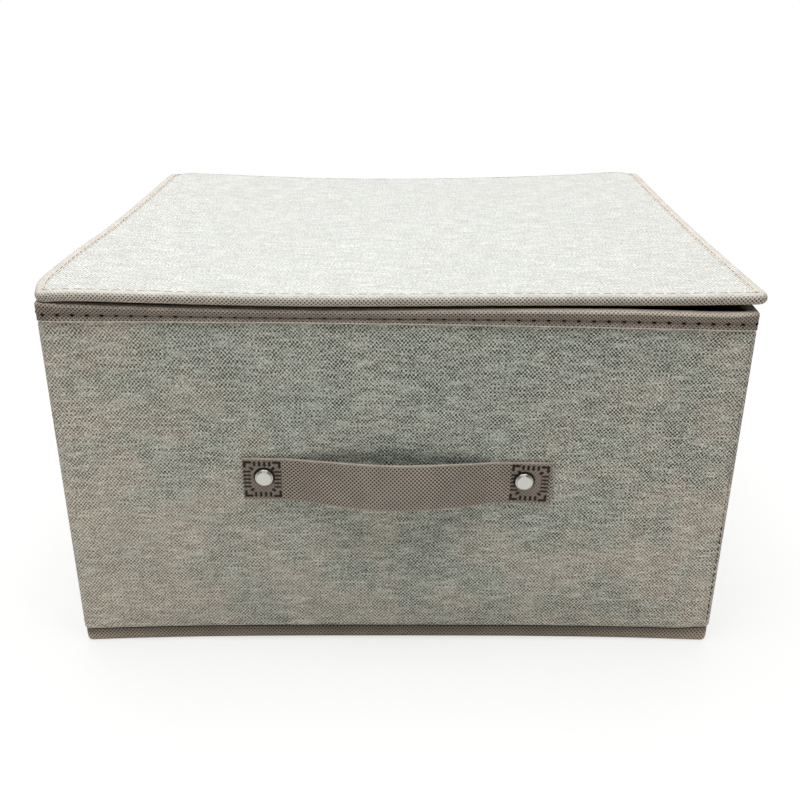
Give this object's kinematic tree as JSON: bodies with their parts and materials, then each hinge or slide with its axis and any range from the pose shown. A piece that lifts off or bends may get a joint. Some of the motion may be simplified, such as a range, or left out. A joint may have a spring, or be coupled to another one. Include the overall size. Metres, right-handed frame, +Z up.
{
  "type": "storage box",
  "caption": "Fabric-covered cardboard storage box with an attached hinged lid, taped edges, a riveted strap handle on the front and a loose padded base board inside",
  "frame": {"origin": "on the surface that the box stands on, midway between the side walls and midway between the front and back walls", "axes": "+X to the right as seen from the front, +Y to the back (the handle is on the -Y side), +Z up"},
  "size_m": [0.356, 0.3114, 0.2058],
  "materials": {
    "linen_cover": "linen-look woven polyester, matte",
    "lining": "non-woven polypropylene, matte",
    "board": "grey board, matte",
    "binding_tape": "embossed non-woven polypropylene tape, matte",
    "strap_webbing": "polypropylene webbing, matte",
    "rivet_metal": "nickel-plated steel, polished"
  },
  "bodies": {
    "box": {"front_cover": "linen_cover", "back_cover": "linen_cover", "left_cover": "linen_cover", "right_cover": "linen_cover", "bottom_cover": "lining", "base_seam_allowance": "lining", "front_board": "board", "back_board": "board", "left_front_board": "board", "left_rear_board": "board", "right_front_board": "board", "right_rear_board": "board", "front_lining": "lining", "back_lining": "lining", "left_lining": "lining", "right_lining": "lining", "rim_binding": "binding_tape", "base_binding": "binding_tape", "handle_strap": "strap_webbing", "rivet_front_caps": "rivet_metal", "rivet_back_caps": "rivet_metal", "hinge_cloth": "linen_cover"},
    "lid": {"lid_cover": "linen_cover", "lid_board": "board", "lid_lining": "lining", "lid_binding": "binding_tape"},
    "base_insert": {"base_insert_board": "board", "base_insert_cover": "lining"}
  },
  "joints": [
    {"name": "lid_hinge", "type": "hinge", "parent": "box", "child": "lid", "pos_m": [0, 0.152, 0.2004], "axis": [-1, 0, 0], "range_deg": [0, 215], "deforming": ["hinge_cloth"]},
    {"name": "base_insert_lift", "type": "slide", "parent": "box", "child": "base_insert", "axis": [0, 0, 1], "range_m": [0, 0.185]}
  ]
}
